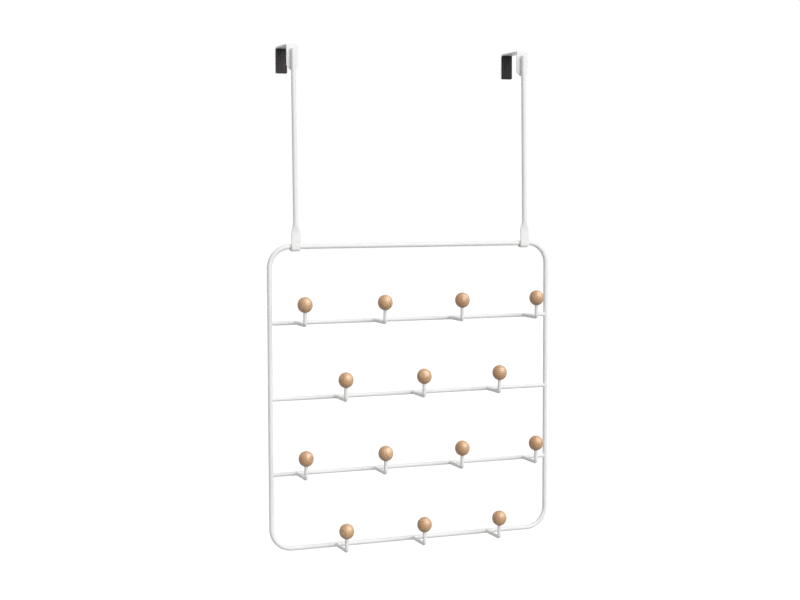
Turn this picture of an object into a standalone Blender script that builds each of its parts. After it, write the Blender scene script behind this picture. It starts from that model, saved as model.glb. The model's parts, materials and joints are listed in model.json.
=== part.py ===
"""Over-the-door hook rack: a steel wire frame with fourteen ball-tipped hooks, hung from two door straps.

Metres, +Z up. The origin is on the door's top edge, at its front face, midway between the two hangers:
+X runs along the door, +Y through the door to its back, and the rack hangs down the front at -Y.
"""
import math

import bmesh
import bpy

# Running gap between two pieces that touch, and the clearance of a ball's bore around its stem
GAP = 0.0003

# Door straps, bent from flat bar, tightly at the front; the rear bend is wide and holds the pad's top
DOOR_SLOT = 0.046
STRAP_WIDTH = 0.016
STRAP_THICKNESS = 0.002
FRONT_BEND = 0.001
FRONT_LEG_DROP = 0.0318
REAR_LEG_DROP = 0.0328
TIP_WIDTH = 0.005

# Foam pads on the rear legs
PAD_WIDTH = 0.015
PAD_THICKNESS = 0.003
PAD_BEVEL = 0.0005

# Hanger rods, flattened below into a blade that hooks under the top rail
ROD_DIAMETER = 0.0064
ROD_TOP_DROP = 0.004
BLADE_WIDTH = 0.0125
BLADE_THICKNESS = 0.0026
BLADE_LENGTH = 0.0165
TAPER_LENGTH = 0.0145
HOOK_TIP_RISE = 0.003

# Wire frame
HANG_DROP = 0.2615
FRAME_WIDTH = 0.400
FRAME_HEIGHT = 0.400
FRAME_WIRE = 0.0064
CORNER_RADIUS = 0.028
BAR_DIAMETER = 0.0056
BAR_COUNT = 3
CORNER_CLEARANCE = 0.00075

# Coat hooks and their balls
HOOKS_IN_FULL_ROW = 4
HOOK_WIRE = 0.005
HOOK_REACH = 0.043
HOOK_BEND = 0.004
BALL_RISE = 0.0265
BALL_DIAMETER = 0.0198
BALL_HEIGHT = 0.0208
STEM_DEPTH = 0.009

# Facets of the round shapes
RING_CORNER_STEPS = 8
BEND_STEPS = 4
BLADE_SIDES = 16
TAPER_STEPS = 6
CRADLE_STEPS = 10
BALL_STEPS = 20
BALL_RINGS = 11

# Squareness of the rod's section: a circle above, a flat bar with round edges below
ROUND_POWER = 2.0
FLAT_POWER = 5.0

# Faces that meet at more degrees than this keep a sharp edge, and a pad's edges are chamfered
STRAP_SHARP = 30
ROD_SHARP = 50
PAD_SHARP = 45

# Places worked out from the sizes above
HANGER_X = FRAME_WIDTH / 2 - CORNER_RADIUS - CORNER_CLEARANCE - BLADE_WIDTH / 2
ROD_TOP_Y = -(STRAP_THICKNESS + GAP + ROD_DIAMETER / 2)
CRADLE_RADIUS = FRAME_WIRE / 2 + GAP + BLADE_THICKNESS / 2
RAIL_Y = -(GAP + BLADE_THICKNESS / 2 + CRADLE_RADIUS)
REAR_LEG_Y = DOOR_SLOT + PAD_THICKNESS + GAP
REAR_BEND = PAD_THICKNESS + GAP
ROW_SPACING = FRAME_HEIGHT / (BAR_COUNT + 1)
HOOK_PITCH = 2 * HANGER_X / (HOOKS_IN_FULL_ROW - 1)

WHITE = ("white_powder_coat", (0.86, 0.86, 0.85), 0.34, 0.0)
FOAM = ("black_foam", (0.015, 0.015, 0.016), 0.85, 0.0)
BEECH = ("beech", (0.68, 0.45, 0.26), 0.45, 0.0)


def clear_scene():
    """Empty the file of its start-up objects."""
    for item in list(bpy.data.objects):
        bpy.data.objects.remove(item, do_unlink=True)


def principled(look, name):
    """A material of the piece's own, from a look's colour, roughness and metallic value."""
    kind, colour, roughness, metallic = look
    material = bpy.data.materials.new(name + "_" + kind)
    material.use_nodes = True
    shader = material.node_tree.nodes["Principled BSDF"]
    shader.inputs["Base Color"].default_value = (*colour, 1.0)
    shader.inputs["Roughness"].default_value = roughness
    shader.inputs["Metallic"].default_value = metallic
    material.diffuse_color = (*colour, 1.0)
    return material


def arc(centre, radius, start, end, steps):
    """Points in a plane along an arc, in degrees from the plane's first axis."""
    points = []
    for step in range(steps + 1):
        angle = math.radians(start + (end - start) * step / steps)
        points.append((centre[0] + radius * math.cos(angle), centre[1] + radius * math.sin(angle)))
    return points


def empty_at(name, location, group):
    """An empty that carries a set of pieces that move together, on their joint's axis."""
    holder = bpy.data.objects.new(name, None)
    holder.empty_display_size = 0.02
    holder.location = location
    group.objects.link(holder)
    return holder


def place(item, location, parent, group):
    """Put an object in the model, at a place measured from its parent."""
    item.location = location
    item.parent = parent
    group.objects.link(item)
    return item


def wire_object(name, points, diameter, look, cyclic=False):
    """A round wire along points in space, with filled ends unless it closes on itself."""
    curve = bpy.data.curves.new(name, "CURVE")
    curve.dimensions = "3D"
    curve.twist_mode = "MINIMUM"
    curve.bevel_depth = diameter / 2
    curve.bevel_resolution = 2
    curve.use_fill_caps = True
    spline = curve.splines.new("POLY")
    spline.points.add(len(points) - 1)
    for point, place_on_wire in zip(spline.points, points):
        point.co = (*place_on_wire, 1.0)
    spline.use_cyclic_u = cyclic
    spline.use_smooth = True
    curve.materials.append(principled(look, name))
    return bpy.data.objects.new(name, curve)


def mesh_object(name, shape, look, smooth_below=None):
    """An object from a bmesh, shaded smooth where its faces meet under an angle in degrees."""
    mesh = bpy.data.meshes.new(name)
    shape.to_mesh(mesh)
    shape.free()
    if smooth_below is not None:
        mesh.shade_smooth()
        mesh.set_sharp_from_angle(angle=math.radians(smooth_below))
    mesh.materials.append(principled(look, name))
    return bpy.data.objects.new(name, mesh)


def strap(name):
    """A flat bar bent over the door: its underside rests on the door's top edge at z 0.

    The sheet is the bar's inner side, from the front leg's chamfered tip over the top to the rear
    leg's end. The flat seat on the door ends above the pad's front face.
    """
    half = STRAP_WIDTH / 2
    tip = TIP_WIDTH / 2
    chamfer = half - tip
    front_bend = arc((FRONT_BEND, -FRONT_BEND), FRONT_BEND, 180, 90, BEND_STEPS)
    rear_bend = arc((DOOR_SLOT, -REAR_BEND), REAR_BEND, 90, 0, BEND_STEPS)
    side_view = [(0.0, chamfer - FRONT_LEG_DROP)] + front_bend + rear_bend
    side_view.append((REAR_LEG_Y, -REAR_LEG_DROP))
    shape = bmesh.new()
    pairs = [(shape.verts.new((-half, y, z)), shape.verts.new((half, y, z))) for y, z in side_view]
    for (left, right), (next_left, next_right) in zip(pairs, pairs[1:]):
        shape.faces.new((left, right, next_right, next_left))
    tip_left = shape.verts.new((-tip, 0.0, -FRONT_LEG_DROP))
    tip_right = shape.verts.new((tip, 0.0, -FRONT_LEG_DROP))
    shape.faces.new((tip_left, tip_right, pairs[0][1], pairs[0][0]))
    item = mesh_object(name, shape, WHITE, STRAP_SHARP)
    bar = item.modifiers.new("bar_thickness", "SOLIDIFY")
    bar.thickness = STRAP_THICKNESS
    bar.offset = 1.0
    bar.use_even_offset = True
    return item


def pad(name):
    """A foam strip glued to the rear leg's inner side, its rounded top nested in the strap's bend.

    Its side view is extruded across the strap, measured from the door's top edge.
    """
    half = PAD_WIDTH / 2
    rounded_top = arc((DOOR_SLOT, -REAR_BEND), PAD_THICKNESS, 90, 0, BEND_STEPS)
    rear = DOOR_SLOT + PAD_THICKNESS
    side_view = rounded_top + [(rear, -REAR_LEG_DROP), (DOOR_SLOT, -REAR_LEG_DROP)]
    shape = bmesh.new()
    side = shape.faces.new([shape.verts.new((-half, y, z)) for y, z in side_view])
    swept = bmesh.ops.extrude_face_region(shape, geom=[side])
    far_side = [item for item in swept["geom"] if isinstance(item, bmesh.types.BMVert)]
    bmesh.ops.translate(shape, vec=(PAD_WIDTH, 0.0, 0.0), verts=far_side)
    bmesh.ops.recalc_face_normals(shape, faces=shape.faces)
    item = mesh_object(name, shape, FOAM)
    edge = item.modifiers.new("soft_edge", "BEVEL")
    edge.width = PAD_BEVEL
    edge.segments = 1
    edge.limit_method = "ANGLE"
    edge.angle_limit = math.radians(PAD_SHARP)
    return item


def rod_path():
    """Centreline of a hanger rod in the y-z plane, as points with their direction.

    The rod stands on the front leg, leans forward to pass in front of the top rail, and its end
    curls under the rail and up behind it: a straight run, tangent to a cradle round the rail.
    """
    top = (ROD_TOP_Y, -ROD_TOP_DROP)
    rail = (RAIL_Y, -HANG_DROP)
    across = rail[0] - top[0]
    down = top[1] - rail[1]
    distance = math.hypot(across, down)
    lean = math.atan2(-across, down) + math.asin(CRADLE_RADIUS / distance)
    run = math.sqrt(distance ** 2 - CRADLE_RADIUS ** 2)
    direction = (-math.sin(lean), -math.cos(lean))
    stations = [0.0]
    for step in range(TAPER_STEPS + 1):
        stations.append(run - BLADE_LENGTH - TAPER_LENGTH * (1 - step / TAPER_STEPS))
    path = []
    for along in stations:
        point = (top[0] + direction[0] * along, top[1] + direction[1] * along)
        path.append((point, direction, along - run))
    start = 180 - math.degrees(lean)
    for y, z in arc(rail, CRADLE_RADIUS, start, 360, CRADLE_STEPS):
        outward = ((y - rail[0]) / CRADLE_RADIUS, (z - rail[1]) / CRADLE_RADIUS)
        path.append(((y, z), (-outward[1], outward[0]), 0.0))
    path.append(((rail[0] + CRADLE_RADIUS, rail[1] + HOOK_TIP_RISE), (0.0, 1.0), 0.0))
    return path


def rod_section(from_blade_foot):
    """Width, thickness and squareness of the rod's section, at a distance above the blade's foot."""
    share = (-from_blade_foot - BLADE_LENGTH) / TAPER_LENGTH
    share = min(max(share, 0.0), 1.0)
    round_share = share * share * (3 - 2 * share)
    width = BLADE_WIDTH + (ROD_DIAMETER - BLADE_WIDTH) * round_share
    thickness = BLADE_THICKNESS + (ROD_DIAMETER - BLADE_THICKNESS) * round_share
    power = FLAT_POWER + (ROUND_POWER - FLAT_POWER) * round_share
    return width, thickness, power


def rod(name):
    """One wire from the strap to the rail: round above, hammered flat and hooked below.

    A loft between unlike sections, whose outline goes from a circle to a flat bar with round edges.
    """
    shape = bmesh.new()
    rings = []
    for (y, z), (along_y, along_z), height in rod_path():
        width, thickness, power = rod_section(height)
        ring = []
        for side in range(BLADE_SIDES):
            angle = 2 * math.pi * (side + 0.5) / BLADE_SIDES
            across = math.copysign(abs(math.cos(angle)) ** (2 / power), math.cos(angle)) * width / 2
            off = math.copysign(abs(math.sin(angle)) ** (2 / power), math.sin(angle)) * thickness / 2
            ring.append(shape.verts.new((across, y - along_z * off, z + along_y * off)))
        rings.append(ring)
    for ring, following in zip(rings, rings[1:]):
        for side in range(BLADE_SIDES):
            after = (side + 1) % BLADE_SIDES
            shape.faces.new((ring[side], ring[after], following[after], following[side]))
    shape.faces.new(rings[0])
    shape.faces.new(rings[-1])
    bmesh.ops.recalc_face_normals(shape, faces=shape.faces)
    return mesh_object(name, shape, WHITE, ROD_SHARP)


def hanger(side, x, group):
    """A hanger: strap, foam pad and rod, under an empty that stands where the strap sits on the door."""
    holder = empty_at(side + "_hanger", (x, 0.0, 0.0), group)
    place(strap(side + "_strap"), (0.0, 0.0, 0.0), holder, group)
    place(pad(side + "_pad"), (0.0, 0.0, 0.0), holder, group)
    place(rod(side + "_rod"), (0.0, 0.0, 0.0), holder, group)


def frame_ring():
    """The frame's outer wire: a rounded rectangle below the top rail's centreline."""
    half = FRAME_WIDTH / 2
    near = half - CORNER_RADIUS
    low = CORNER_RADIUS - FRAME_HEIGHT
    outline = arc((near, -CORNER_RADIUS), CORNER_RADIUS, 90, 0, RING_CORNER_STEPS)
    outline += arc((near, low), CORNER_RADIUS, 0, -90, RING_CORNER_STEPS)
    outline += arc((-near, low), CORNER_RADIUS, -90, -180, RING_CORNER_STEPS)
    outline += arc((-near, -CORNER_RADIUS), CORNER_RADIUS, 180, 90, RING_CORNER_STEPS)
    return wire_object("frame_ring", [(x, 0.0, z) for x, z in outline], FRAME_WIRE, WHITE, cyclic=True)


def crossbar(number):
    """A bar between the two side rails, welded to their inner sides."""
    half = (FRAME_WIDTH - FRAME_WIRE) / 2 - GAP
    return wire_object("crossbar_%d" % number, [(-half, 0.0, 0.0), (half, 0.0, 0.0)], BAR_DIAMETER, WHITE)


def coat_hook(name, bar_diameter):
    """A hook's wire: out from the bar's front, round one bend and up into its ball."""
    root = -(bar_diameter / 2 + GAP)
    bend = arc((HOOK_BEND - HOOK_REACH, HOOK_BEND), HOOK_BEND, 270, 180, BEND_STEPS)
    stem_top = BALL_RISE - BALL_HEIGHT / 2 + STEM_DEPTH
    side_view = [(root, 0.0)] + bend + [(-HOOK_REACH, stem_top)]
    return wire_object(name, [(0.0, y, z) for y, z in side_view], HOOK_WIRE, WHITE)


def ball(name):
    """A turned ball, a little taller than wide, with a blind bore from below for its stem."""
    bore = HOOK_WIRE / 2 + GAP
    bore_top = -BALL_HEIGHT / 2 + STEM_DEPTH + GAP
    rim = -math.degrees(math.acos(bore / (BALL_DIAMETER / 2)))
    shape = bmesh.new()
    profile = []
    for ring in range(BALL_RINGS + 1):
        angle = math.radians(90 + (rim - 90) * ring / BALL_RINGS)
        radius = 0.0 if ring == 0 else BALL_DIAMETER / 2 * math.cos(angle)
        profile.append((radius, 0.0, BALL_HEIGHT / 2 * math.sin(angle)))
    profile += [(bore, 0.0, bore_top), (0.0, 0.0, bore_top)]
    points = [shape.verts.new(point) for point in profile]
    for upper, lower in zip(points, points[1:]):
        shape.edges.new((upper, lower))
    item = mesh_object(name, shape, BEECH)
    turn = item.modifiers.new("turned", "SCREW")
    turn.steps = BALL_STEPS
    turn.render_steps = BALL_STEPS
    turn.use_merge_vertices = True
    turn.merge_threshold = 0.00001
    turn.use_smooth_shade = True
    return item


def hook_row(row, bar_diameter, holder, group):
    """A row of hooks on the bar that is this many spacings below the top rail.

    Odd rows are full, with their outer hooks below the hangers; even rows have a hook fewer, between them.
    """
    count = HOOKS_IN_FULL_ROW if row % 2 else HOOKS_IN_FULL_ROW - 1
    height = -row * ROW_SPACING
    for number in range(count):
        x = (number - (count - 1) / 2) * HOOK_PITCH
        tag = "row%d_%d" % (row, number + 1)
        place(coat_hook("hook_" + tag, bar_diameter), (x, 0.0, height), holder, group)
        place(ball("ball_" + tag), (x, -HOOK_REACH, height + BALL_RISE), holder, group)


def wire_frame(group):
    """The hanging frame with its bars and hooks, under an empty on the top rail's centreline."""
    holder = empty_at("frame", (0.0, RAIL_Y, -HANG_DROP), group)
    place(frame_ring(), (0.0, 0.0, 0.0), holder, group)
    for row in range(1, BAR_COUNT + 1):
        place(crossbar(row), (0.0, 0.0, -row * ROW_SPACING), holder, group)
        hook_row(row, BAR_DIAMETER, holder, group)
    hook_row(BAR_COUNT + 1, FRAME_WIRE, holder, group)


def main():
    clear_scene()
    group = bpy.data.collections.new("over_the_door_hook_rack")
    bpy.context.scene.collection.children.link(group)
    hanger("left", -HANGER_X, group)
    hanger("right", HANGER_X, group)
    wire_frame(group)


main()
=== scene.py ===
"""Over-the-door hook rack: its finished forms and surfaces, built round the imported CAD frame.

Metres, +Z up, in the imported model's own frame: the origin is on the door's top edge at its front
face, midway between the hangers. +X runs along the door, +Y through it, and the rack hangs at -Y.
"""
import json
import math
import random
from collections import namedtuple

import bmesh
import bpy
from bpy.props import FloatProperty, FloatVectorProperty, IntProperty, PointerProperty
from mathutils import Matrix, Vector

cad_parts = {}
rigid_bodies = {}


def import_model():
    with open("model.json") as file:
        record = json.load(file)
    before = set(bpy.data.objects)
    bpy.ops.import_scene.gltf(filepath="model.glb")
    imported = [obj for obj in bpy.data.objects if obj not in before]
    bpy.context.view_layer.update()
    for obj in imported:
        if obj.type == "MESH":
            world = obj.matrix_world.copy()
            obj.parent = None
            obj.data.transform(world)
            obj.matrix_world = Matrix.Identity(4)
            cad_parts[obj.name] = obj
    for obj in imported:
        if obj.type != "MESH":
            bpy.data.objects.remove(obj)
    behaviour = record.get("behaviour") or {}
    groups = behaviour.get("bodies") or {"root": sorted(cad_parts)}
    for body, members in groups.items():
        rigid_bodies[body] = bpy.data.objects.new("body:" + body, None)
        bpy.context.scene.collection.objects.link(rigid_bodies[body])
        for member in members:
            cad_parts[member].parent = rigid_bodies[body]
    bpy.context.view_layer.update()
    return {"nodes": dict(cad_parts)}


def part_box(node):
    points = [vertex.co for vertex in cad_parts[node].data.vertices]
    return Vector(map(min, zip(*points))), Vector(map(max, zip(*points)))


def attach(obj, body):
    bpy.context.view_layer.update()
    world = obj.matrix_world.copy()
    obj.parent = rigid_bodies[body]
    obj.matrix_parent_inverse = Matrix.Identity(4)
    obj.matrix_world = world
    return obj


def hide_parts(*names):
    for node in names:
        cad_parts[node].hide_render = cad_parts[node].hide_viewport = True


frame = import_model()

bl_info = {
    "name": "Over-the-door hook rack",
    "version": (1, 0, 0),
    "blender": (4, 5, 0),
    "location": "View3D > Sidebar > Hook rack",
    "description": "Builds the wire frame, hooks, wooden balls, hangers and foam pads of a door rack",
    "category": "Add Mesh",
}

X_AXIS = Vector((1.0, 0.0, 0.0))
Y_AXIS = Vector((0.0, 1.0, 0.0))
Z_AXIS = Vector((0.0, 0.0, 1.0))
SIDES = ("left", "right")
WHITE = (1.0, 1.0, 1.0)
# Name of the pads' vertex layer, which holds dust and painted shade: lower values paint the foam darker
DUST_AND_SHADE = "dust"
LAMP_DISTANCE = 3.0
SENSOR_WIDTH = 36.0

# Facets of the round shapes
WIRE_SIDES = 24
ROD_SIDES = 40
CORNER_STEPS = 18
HOOK_BEND_STEPS = 12
FOOT_STEPS = 7
BALL_SIDES = 64
BALL_RINGS = 36
BEND_STEPS = 12
CRADLE_STEPS = 26
TAPER_STEPS = 18
BLADE_STEPS = 8
TIP_STEPS = 4
END_STATIONS = (0.0, 0.08, 0.25, 0.55, 1.0)
ROD_STEPS = 4
WELD_STEPS = 60
WELD_END_STEPS = 5
RIB_STEPS = 8
PAD_FOOT_STEPS = 8
PAD_STEPS = 20
PAD_TOP_STEPS = 10
PAD_EDGE_TURNS = (0.5, 1.0, math.pi / 2)
STRAP_EDGE_SEGMENTS = 3

# Fine points of the shapes
WELD_SINK = 0.00008  # depth of a weld's first ring in the wire that it stands on
BAR_WELD_ROOM = 0.006  # from a rail's centreline to where a crossbar is plain wire
HOOK_WELD_ROOM = 0.0012  # from the top of a weld to where a hook's arm is plain wire
CHAMFER_MIDDLE = (0.3, 0.25)  # shares of a bore's chamfer, across and up, partway along it
STRAP_SHARP_FROM = math.radians(40)  # turn between faces from which the flat bar's edge is rounded
PAD_TOP_TURN = math.radians(80)  # how far round the strap's bend a pad's top goes
ROD_END_EASE = 0.16  # share by which a rod's end faces are smaller than its section
WAVE_COUNT = 3  # waves in the width of a hammered end
WAVE_RATES = (260, 620)  # slowest and fastest of these waves, in radians to the metre
RIPPLE_TURN = 1.25  # turn of the weld's ripple from one ring to the next, in radians
RIPPLE_STRAY = 0.25  # most that a ripple strays from this, in radians
WELD_END_SHARE = 0.4  # width of the weld's two ends, as a share of its middle
WELD_HOLLOW = 0.93  # width of the weld midway between rod and strap, as a share of that at the rod
ROUND_POWER = 2.0  # power of a round section

# Seeds of what chance decides
WAVE_SEEDS = {"left": 41, "right": 42}
RIPPLE_SEEDS = {"left": 71, "right": 72}
CUT_SEED = 2207
TINT_SEED = 123000

# How the balls differ
TINTS = (0.92, 0.08, 0.04)  # least tint, and the most that two draws add
TINT_POWERS = (1.0, 1.6, 2.4)  # a tint's powers in red, green and blue, so that a darker ball is redder
CUT_LEAN = 0.5  # most that upright grain leans, in radians
THROUGH_CUT_EVERY = 3  # of so many balls, one has its grain from front to back
THROUGH_CUT_LEAN = (0.35, 0.6)  # most that grain from front to back leans and turns, in radians
PITH_AWAY = (0.014, 0.05)  # least and greatest distance of the pith from a ball's centre
PITH_STRAY = (0.01, 0.2)  # most that the pith lies aside and along the grain
RING_SCALES = (105.0, 150.0)  # of the growth rings


# Sizes and colours


def length(name, description, default):
    """A size in metres that the panel shows."""
    return FloatProperty(
        name=name, description=description, default=default, min=0.0, unit="LENGTH", precision=5)


def share(name, description, default, most=1.0):
    """A plain number that the panel shows."""
    return FloatProperty(
        name=name, description=description, default=default, min=0.0, max=most, subtype="FACTOR")


def colour(name, description, default):
    """A linear colour that the panel shows."""
    return FloatVectorProperty(
        name=name, description=description, default=default, size=3, min=0.0, max=1.0, subtype="COLOR")


def angle(name, description, degrees):
    """An angle, given in degrees."""
    return FloatProperty(name=name, description=description, default=math.radians(degrees), subtype="ANGLE")


def heading(name, description, default):
    """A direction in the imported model's frame."""
    return FloatVectorProperty(name=name, description=description, default=default, size=3, subtype="XYZ")


def squareness(name, description, default):
    """The power of a rounded section: 2 is an ellipse and more is squarer."""
    return FloatProperty(name=name, description=description, default=default, min=1.5, max=8.0)


class WireSizes(bpy.types.PropertyGroup):
    """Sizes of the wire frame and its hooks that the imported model's boxes don't give."""

    corner_radius: length("Corner radius", "Bend of the frame's corners, at the wire's centreline", 0.028)
    hook_bend: length("Hook bend", "Bend between a hook's arm and its stem, at the centreline", 0.004)
    weld_spread: length("Weld spread", "How far a weld reaches along the wire it stands on", 0.0007)
    weld_rise: length("Weld rise", "How far a weld climbs up the wire that it holds", 0.0009)


class BallSizes(bpy.types.PropertyGroup):
    """Sizes of the wooden balls."""

    bore_clearance: length("Bore clearance", "Room round a stem in its ball's bore", 0.00025)
    bore_chamfer: length("Bore chamfer", "Broken edge at the mouth of the bore", 0.0004)
    bore_depth: length("Bore depth", "Depth of the blind bore", 0.0093)
    height: length("Height", "Height of a ball before its bore takes off the lowest part", 0.0208)
    squareness: squareness("Squareness", "2 is an ellipse in side view, more is fuller", 2.04)


class HangerSizes(bpy.types.PropertyGroup):
    """Sizes of the straps, the rods and their hammered ends."""

    strap_thickness: length("Strap thickness", "Thickness of the flat bar", 0.002)
    front_leg: length("Front leg", "Drop of the strap's front leg below its underside", 0.0318)
    front_bend: length("Front bend", "Inner radius of the strap's bend over the door's front edge", 0.001)
    rear_bend: length("Rear bend", "Inner radius of the strap's bend above the pad", 0.0033)
    tip_width: length("Tip width", "Width left between the chamfers of the front leg", 0.005)
    strap_edge: length("Strap edge", "Rounding of the flat bar's edges under the coat", 0.00035)
    rod_diameter: length("Rod diameter", "Wire of the hanger rods", 0.0064)
    rod_clearance: length("Rod clearance", "Gap between rod and front leg at the rod's top", 0.0003)
    rod_top: length("Rod top", "Where the rod ends below the door's top edge", 0.004)
    blade_width: length("Blade width", "Width of the hammered end", 0.0125)
    blade_thickness: length("Blade thickness", "Thickness of the hammered end", 0.0026)
    blade_squareness: squareness("Blade squareness", "2 is an ellipse in section, more is flatter", 3.6)
    blade_length: length("Blade length", "Straight part of the hammered end", 0.0165)
    taper_length: length("Taper length", "Where the round rod turns into the blade", 0.0145)
    tip_rise: length("Hook tip rise", "How far the hooked end stands up behind the rail", 0.003)
    hook_squareness: squareness(
        "Hook squareness", "2 is a round bend under the rail, more is a sharper one outside", 3.5)
    hammering: length("Hammering", "How much the width of the hammered end wanders", 0.00018)
    end_round: length("End rounding", "Length over which the coat rounds a rod's two ends", 0.0016)
    weld_from: length("Weld start", "Where the weld starts below the rod's top", 0.0035)
    weld_to: length("Weld end", "Where the weld ends above the tip of the front leg", 0.0095)
    weld_reach: length("Weld reach", "Half the width of the weld", 0.0015)
    weld_ripple: length("Weld ripple", "Height of the ripples in the weld", 0.00012)
    weld_lap: length("Weld lap", "How far the weld runs out over the metal beside it", 0.0002)


class PadSizes(bpy.types.PropertyGroup):
    """Sizes of the foam pads."""

    ribs: IntProperty(name="Ribs", description="Ribs across a pad", default=5, min=1, max=12)
    rib_depth: length("Rib depth", "Depth of the grooves between the ribs", 0.0006)
    corner: length("Lower corners", "Rounding of a pad's two lower corners", 0.0021)
    edge: length("Edge", "Rounding of a pad's long edges", 0.0006)
    crown: length("Crown", "How much a pad's sides lie back from its middle", 0.00012)
    adhesive: length("Adhesive", "Thickness of the adhesive between a pad and its leg", 0.00025)
    thinnest: length("Thinnest foam", "Thickness of the foam at its rounded top", 0.0002)


class Finishes(bpy.types.PropertyGroup):
    """Colours and gloss."""

    coat: colour("Powder coat", "White of the powder coat", (0.875, 0.875, 0.868))
    coat_roughness: share("Coat roughness", "Roughness of the powder coat", 0.46)
    beech_pale: colour("Pale beech", "Early wood", (0.505, 0.33, 0.18))
    beech_deep: colour("Deep beech", "Late wood and fibres", (0.225, 0.088, 0.029))
    beech_fleck: colour("Ray fleck", "Short dark flecks", (0.225, 0.102, 0.04))
    beech_roughness: share("Beech roughness", "Roughness of the varnished wood", 0.42)
    # The foam shows this grey where the pads' layer of dust and painted shade is full, and goes towards the
    # pore black where it is low
    foam: colour("Foam", "Dusty grey of the crests of the foam's ribs", (0.14, 0.126, 0.137))
    foam_pore: colour("Foam pores", "Black of the foam's cells", (0.022, 0.019, 0.021))
    # These four set dust and painted shade on the pads: the right pad's lower value paints it darker as if
    # in shade, the groove share paints shade in the grooves between ribs, and the top share paints shade up
    # under the strap's bend
    left_dust_and_shade: share("Left pad's dust", "How dusty the left pad has become", 1.0)
    right_dust_and_shade: share("Right pad's dust", "How dusty the right pad has become", 0.55)
    groove_dust_and_shade: share("Groove dust", "Share of the dust that lies in the grooves between ribs", 0.25)
    top_dust_and_shade: share("Top dust", "Share of the dust that lies up in the strap's bend", 0.55)


class StudioSizes(bpy.types.PropertyGroup):
    """Floor, light and camera."""

    floor_drop: length("Floor drop", "Floor below the door's top edge", 2.45)
    floor_reach: length("Floor reach", "Half the width of the floor", 30.0)
    floor_white: share("Floor white", "Share of light that the floor sends back", 0.4)
    floor_glow: share("Floor glow", "What the floor adds where it is seen, so that it is plain white", 0.78)
    key_strength: share("Key strength", "Strength of the soft key light", 2.15, 10.0)
    key_softness: angle("Key softness", "Angle that the key light and the light behind fill", 66)
    key_from: heading("Key from", "Direction that the key light comes from", (0.296, -0.814, 0.5))
    fill_strength: share("Fill strength", "Strength of the soft light behind the rack", 0.9, 10.0)
    fill_from: heading("Fill from", "Direction that the light behind comes from", (0.355, 0.93, 0.1))
    softbox_strength: share("Softbox strength", "Strength of the softbox in the varnish", 4.4, 20.0)
    softbox_softness: angle("Softbox size", "Angle that the softbox fills", 66)
    softbox_from: heading("Softbox from", "Direction of the softbox", (0.5, -0.46, 0.73))
    ball_key_strength: share("Ball key strength", "Strength of the balls' own key light", 1.9, 10.0)
    ball_key_softness: angle("Ball key softness", "Angle that the balls' key light fills", 40)
    ball_key_from: heading("Ball key from", "Direction of the balls' key light", (0.2, -0.7, 0.68))
    room_from: heading("Bright side from", "Direction of the room's bright side", (0.1, -0.9, 0.4))
    sky_bright: share("Bright side", "Light from the bright side of the room", 0.47, 10.0)
    sky_dark: share("Dark side", "Light from the dark side of the room", 0.35, 10.0)
    camera_place: FloatVectorProperty(
        name="Camera", description="Where the camera stands", default=(-0.7373, -1.8893, -0.1877),
        subtype="TRANSLATION", unit="LENGTH")
    camera_yaw: angle("Yaw", "Turn from +Y towards +X", 20.91)
    camera_dip: angle("Dip", "Tilt below the horizon", 4.20)
    camera_roll: angle("Roll", "Turn about the line of sight", -0.15)
    camera_lens: FloatProperty(
        name="Lens", description="Focal length on a sensor 36 mm wide", default=67.5,
        subtype="DISTANCE_CAMERA")


class HookRack(bpy.types.PropertyGroup):
    """All that a user may change on the rack."""

    wire: PointerProperty(type=WireSizes)
    ball: PointerProperty(type=BallSizes)
    hanger: PointerProperty(type=HangerSizes)
    pad: PointerProperty(type=PadSizes)
    finish: PointerProperty(type=Finishes)
    studio: PointerProperty(type=StudioSizes)


# Materials


class Level:
    """A value in a node tree. Sums, products and powers with it add Math nodes."""

    def __init__(self, tree, socket):
        self.tree = tree
        self.socket = socket

    def maths(self, operation, first, second):
        """The result of a Math node on two levels, or on a level and a number."""
        node = self.tree.nodes.new("ShaderNodeMath")
        node.operation = operation
        for slot, value in zip(node.inputs, (first, second)):
            if isinstance(value, Level):
                self.tree.links.new(value.socket, slot)
            else:
                slot.default_value = value
        return Level(self.tree, node.outputs[0])

    def __add__(self, other):
        return self.maths("ADD", self, other)

    def __radd__(self, other):
        return self.maths("ADD", other, self)

    def __mul__(self, other):
        return self.maths("MULTIPLY", self, other)

    def __rmul__(self, other):
        return self.maths("MULTIPLY", other, self)

    def __pow__(self, other):
        return self.maths("POWER", self, other)

    def __rpow__(self, other):
        return self.maths("POWER", other, self)

    def most(self, other):
        """The greater of two values."""
        return self.maths("MAXIMUM", self, other)


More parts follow.
